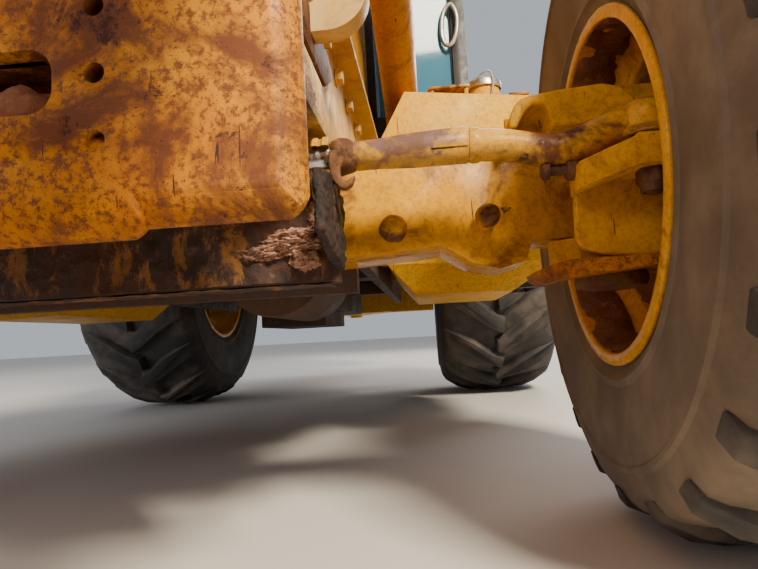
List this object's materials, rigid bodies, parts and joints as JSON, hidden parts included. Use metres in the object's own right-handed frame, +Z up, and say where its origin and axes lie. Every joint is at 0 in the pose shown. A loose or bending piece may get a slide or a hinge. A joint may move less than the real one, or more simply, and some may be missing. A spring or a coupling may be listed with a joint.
{
  "type": "backhoe loader",
  "caption": "Wheeled backhoe loader with a front loader bucket, a glazed cab, folding stabilizers and a rear digging arm folded upright for travel.",
  "frame": {"origin": "on the ground under the middle of the machine's overall box", "axes": "+Z up, -Y towards the front, +X towards the machine's left"},
  "size_m": [2.184, 6.7094, 3.3935],
  "materials": {
    "yellow_paint": "satin",
    "dark_paint": "satin",
    "beige_paint": "satin",
    "cast_iron": "rough",
    "rusty_steel": "rough",
    "worn_steel": "satin",
    "chrome": "polished",
    "tyre": "matte",
    "glass": "clear",
    "seat": "matte",
    "plastic": "matte"
  },
  "bodies": {
    "chassis": {"main_frame": "beige_paint", "front_bumper": "yellow_paint", "front_axle": "yellow_paint", "steering_cylinder": "worn_steel", "driveline": "cast_iron", "engine": "cast_iron", "loader_towers": "yellow_paint", "side_tanks": "yellow_paint", "cab_frame": "dark_paint", "fenders": "yellow_paint", "cab_roof": "yellow_paint", "cab_glass": "glass", "console": "plastic", "seat_cushion": "seat", "seat_back": "seat", "exhaust": "dark_paint", "backhoe_frame": "yellow_paint"},
    "hood": {"hood": "yellow_paint", "grille": "dark_paint"},
    "door_left": {"door_left": "dark_paint", "door_glass_left": "glass"},
    "door_right": {"door_right": "dark_paint", "door_glass_right": "glass"},
    "knuckle_left": {"knuckle_left": "yellow_paint"},
    "knuckle_right": {"knuckle_right": "yellow_paint"},
    "steering_rod": {"steering_rod": "chrome"},
    "tie_rod_left": {"tie_rod_left": "rusty_steel"},
    "tie_rod_right": {"tie_rod_right": "rusty_steel"},
    "loader_arms": {"loader_arms": "yellow_paint"},
    "loader_bucket": {"loader_bucket": "yellow_paint"},
    "lift_barrels": {"lift_barrels": "yellow_paint"},
    "lift_rods": {"lift_rods": "chrome"},
    "tilt_barrels": {"tilt_barrels": "yellow_paint"},
    "tilt_rods": {"tilt_rods": "chrome"},
    "swing_post": {"swing_post": "yellow_paint"},
    "boom": {"boom": "yellow_paint"},
    "dipper": {"dipper": "yellow_paint"},
    "hoe_bucket": {"hoe_bucket": "worn_steel"},
    "rocker": {"rocker": "yellow_paint"},
    "bucket_link": {"bucket_link": "yellow_paint"},
    "wheel_front_left": {"rim_front_left": "yellow_paint", "tyre_front_left": "tyre"},
    "wheel_front_right": {"rim_front_right": "yellow_paint", "tyre_front_right": "tyre"},
    "wheel_rear_left": {"rim_rear_left": "yellow_paint", "tyre_rear_left": "tyre"},
    "wheel_rear_right": {"rim_rear_right": "yellow_paint", "tyre_rear_right": "tyre"},
    "boom_barrel": {"boom_barrel": "yellow_paint"},
    "boom_rod": {"boom_rod": "chrome"},
    "dipper_barrel": {"dipper_barrel": "yellow_paint"},
    "dipper_rod": {"dipper_rod": "chrome"},
    "hoe_barrel": {"hoe_barrel": "yellow_paint"},
    "hoe_rod": {"hoe_rod": "chrome"},
    "stabilizer_left": {"stabilizer_left": "yellow_paint"},
    "stabilizer_barrel_left": {"stabilizer_barrel_left": "yellow_paint"},
    "stabilizer_rod_left": {"stabilizer_rod_left": "chrome"},
    "stabilizer_right": {"stabilizer_right": "yellow_paint"},
    "stabilizer_barrel_right": {"stabilizer_barrel_right": "yellow_paint"},
    "stabilizer_rod_right": {"stabilizer_rod_right": "chrome"}
  },
  "joints": [
    {"name": "hood_tilt", "type": "hinge", "parent": "chassis", "child": "hood", "pos_m": [0, -1.455, 0.79], "axis": [1, 0, 0], "range_deg": [0, 55]},
    {"name": "door_left_swing", "type": "hinge", "parent": "chassis", "child": "door_left", "pos_m": [0.684, 0.012, 1.7], "axis": [0, 0, -1], "range_deg": [0, 80]},
    {"name": "door_right_swing", "type": "hinge", "parent": "chassis", "child": "door_right", "pos_m": [-0.684, 0.012, 1.7], "axis": [0, 0, 1], "range_deg": [0, 80]},
    {"name": "steer_left", "type": "hinge", "parent": "chassis", "child": "knuckle_left", "pos_m": [0.76, -1.24, 0.475], "axis": [0, 0, 1], "range_deg": [-32, 32]},
    {"name": "steer_right", "type": "hinge", "parent": "chassis", "child": "knuckle_right", "pos_m": [-0.76, -1.24, 0.475], "axis": [0, 0, 1], "range_deg": [-32.5, 32.5]},
    {"name": "steering_stroke", "type": "slide", "parent": "chassis", "child": "steering_rod", "axis": [1, 0, 0], "range_m": [-0.09025, 0.09025]},
    {"name": "tie_rod_left_turn", "type": "hinge", "parent": "knuckle_left", "child": "tie_rod_left", "pos_m": [0.768, -1.405, 0.523], "axis": [0, 0, 1], "range_deg": [-32.5, 32.5]},
    {"name": "wheel_front_left_spin", "type": "hinge", "parent": "knuckle_left", "child": "wheel_front_left", "pos_m": [0.895, -1.24, 0.475], "axis": [1, 0, 0], "continuous": true},
    {"name": "wheel_rear_left_spin", "type": "hinge", "parent": "chassis", "child": "wheel_rear_left", "pos_m": [0.791, 0.89, 0.655], "axis": [1, 0, 0], "continuous": true},
    {"name": "tie_rod_right_turn", "type": "hinge", "parent": "knuckle_right", "child": "tie_rod_right", "pos_m": [-0.768, -1.405, 0.523], "axis": [0, 0, 1], "range_deg": [-32.5, 32.5]},
    {"name": "wheel_front_right_spin", "type": "hinge", "parent": "knuckle_right", "child": "wheel_front_right", "pos_m": [-0.895, -1.24, 0.475], "axis": [1, 0, 0], "continuous": true},
    {"name": "wheel_rear_right_spin", "type": "hinge", "parent": "chassis", "child": "wheel_rear_right", "pos_m": [-0.791, 0.89, 0.655], "axis": [1, 0, 0], "continuous": true},
    {"name": "loader_lift", "type": "hinge", "parent": "chassis", "child": "loader_arms", "pos_m": [0, -0.31, 1.5], "axis": [-1, 0, 0], "range_deg": [0, 79]},
    {"name": "bucket_tilt", "type": "hinge", "parent": "loader_arms", "child": "loader_bucket", "pos_m": [0, -2.49, 0.22], "axis": [-1, 0, 0], "range_deg": [-75, 30]},
    {"name": "lift_ram_swing", "type": "hinge", "parent": "chassis", "child": "lift_barrels", "pos_m": [0, -0.46, 0.905], "axis": [-1, 0, 0], "range_deg": [-0.5, 62.89]},
    {"name": "lift_ram_stroke", "type": "slide", "parent": "lift_barrels", "child": "lift_rods", "axis": [0, -0.9632, 0.2687], "range_m": [-0.001, 0.71997]},
    {"name": "tilt_ram_swing", "type": "hinge", "parent": "loader_arms", "child": "tilt_barrels", "pos_m": [0, -1.88, 1.5], "axis": [-1, 0, 0], "range_deg": [-3.72, 8.54]},
    {"name": "tilt_ram_stroke", "type": "slide", "parent": "tilt_barrels", "child": "tilt_rods", "axis": [0, -0.5692, -0.8222], "range_m": [-0.13856, 0.34491]},
    {"name": "hoe_swing", "type": "hinge", "parent": "chassis", "child": "swing_post", "pos_m": [0, 1.93, 0.735], "axis": [0, 0, 1], "range_deg": [-75, 75]},
    {"name": "boom_lower", "type": "hinge", "parent": "swing_post", "child": "boom", "pos_m": [0, 2.235, 0.6], "axis": [-1, 0, 0], "range_deg": [0, 95]},
    {"name": "boom_ram_swing", "type": "hinge", "parent": "swing_post", "child": "boom_barrel", "pos_m": [0, 2.09, 0.93], "axis": [-1, 0, 0], "range_deg": [-0.5, 100.31]},
    {"name": "boom_ram_stroke", "type": "slide", "parent": "boom_barrel", "child": "boom_rod", "axis": [0, 0.1444, 0.9895], "range_m": [-0.001, 0.47169]},
    {"name": "dipper_crowd", "type": "hinge", "parent": "boom", "child": "dipper", "pos_m": [0, 2.53358, 3.03174], "axis": [1, 0, 0], "range_deg": [0, 100]},
    {"name": "dipper_ram_swing", "type": "hinge", "parent": "boom", "child": "dipper_barrel", "pos_m": [0, 2.22844, 1.90049], "axis": [1, 0, 0], "range_deg": [-0.5, 11.31]},
    {"name": "dipper_ram_stroke", "type": "slide", "parent": "dipper_barrel", "child": "dipper_rod", "axis": [0, 0.1392, 0.9903], "range_m": [-0.46205, 0.001]},
    {"name": "hoe_bucket_curl", "type": "hinge", "parent": "dipper", "child": "hoe_bucket", "pos_m": [0, 3.04346, 1.46249], "axis": [1, 0, 0], "range_deg": [0, 100]},
    {"name": "rocker_turn", "type": "hinge", "parent": "dipper", "child": "rocker", "pos_m": [0, 2.9662, 1.70026], "axis": [1, 0, 0], "range_deg": [-0.5, 69.96]},
    {"name": "bucket_link_turn", "type": "hinge", "parent": "rocker", "child": "bucket_link", "pos_m": [0, 3.26649, 1.68217], "axis": [1, 0, 0], "range_deg": [-71.74, 0.5]},
    {"name": "hoe_ram_swing", "type": "hinge", "parent": "dipper", "child": "hoe_barrel", "pos_m": [0, 2.81839, 2.6406], "axis": [1, 0, 0], "range_deg": [-0.54, 0.5]},
    {"name": "hoe_ram_stroke", "type": "slide", "parent": "hoe_barrel", "child": "hoe_rod", "axis": [0, 0.4235, -0.9059], "range_m": [-0.34412, 0.001]},
    {"name": "stabilizer_left_lower", "type": "hinge", "parent": "chassis", "child": "stabilizer_left", "pos_m": [0.43, 1.67, 0.56], "axis": [0, 1, 0], "range_deg": [0, 85]},
    {"name": "stabilizer_ram_left_swing", "type": "hinge", "parent": "chassis", "child": "stabilizer_barrel_left", "pos_m": [0.345, 1.67, 1.34], "axis": [0, 1, 0], "range_deg": [-9.69, 0.5]},
    {"name": "stabilizer_ram_left_stroke", "type": "slide", "parent": "stabilizer_barrel_left", "child": "stabilizer_rod_left", "axis": [0.2717, 0, -0.9624], "range_m": [-0.001, 0.31237]},
    {"name": "stabilizer_right_lower", "type": "hinge", "parent": "chassis", "child": "stabilizer_right", "pos_m": [-0.43, 1.67, 0.56], "axis": [0, -1, 0], "range_deg": [0, 85]},
    {"name": "stabilizer_ram_right_swing", "type": "hinge", "parent": "chassis", "child": "stabilizer_barrel_right", "pos_m": [-0.345, 1.67, 1.34], "axis": [0, -1, 0], "range_deg": [-9.69, 0.5]},
    {"name": "stabilizer_ram_right_stroke", "type": "slide", "parent": "stabilizer_barrel_right", "child": "stabilizer_rod_right", "axis": [-0.2717, 0, -0.9624], "range_m": [-0.001, 0.31237]}
  ],
  "couplings": [
    {"joint": "steer_right", "follows": "steer_left", "ratio": 1},
    {"joint": "steering_stroke", "follows": "steer_left", "m_per_rad": 0.15981},
    {"joint": "tie_rod_left_turn", "follows": "steer_left", "ratio": -1},
    {"joint": "tie_rod_right_turn", "follows": "steer_left", "ratio": -1},
    {"joint": "lift_ram_swing", "follows": "loader_lift", "ratio": 0.7898},
    {"joint": "lift_ram_stroke", "follows": "loader_lift", "m_per_rad": 0.52144},
    {"joint": "tilt_ram_swing", "follows": "bucket_tilt", "ratio": -0.10721},
    {"joint": "tilt_ram_stroke", "follows": "bucket_tilt", "m_per_rad": -0.26273},
    {"joint": "boom_ram_swing", "follows": "boom_lower", "ratio": 1.0506},
    {"joint": "boom_ram_stroke", "follows": "boom_lower", "m_per_rad": 0.28388},
    {"joint": "dipper_ram_swing", "follows": "dipper_crowd", "ratio": 0.10806},
    {"joint": "dipper_ram_stroke", "follows": "dipper_crowd", "m_per_rad": -0.26416},
    {"joint": "rocker_turn", "follows": "hoe_bucket_curl", "ratio": 0.69462},
    {"joint": "bucket_link_turn", "follows": "hoe_bucket_curl", "ratio": -0.71242},
    {"joint": "hoe_ram_swing", "follows": "hoe_bucket_curl", "ratio": -0.000351},
    {"joint": "hoe_ram_stroke", "follows": "hoe_bucket_curl", "m_per_rad": -0.19659},
    {"joint": "stabilizer_ram_left_swing", "follows": "stabilizer_left_lower", "ratio": -0.10814},
    {"joint": "stabilizer_ram_left_stroke", "follows": "stabilizer_left_lower", "m_per_rad": 0.20988},
    {"joint": "stabilizer_ram_right_swing", "follows": "stabilizer_right_lower", "ratio": -0.10814},
    {"joint": "stabilizer_ram_right_stroke", "follows": "stabilizer_right_lower", "m_per_rad": 0.20988}
  ]
}
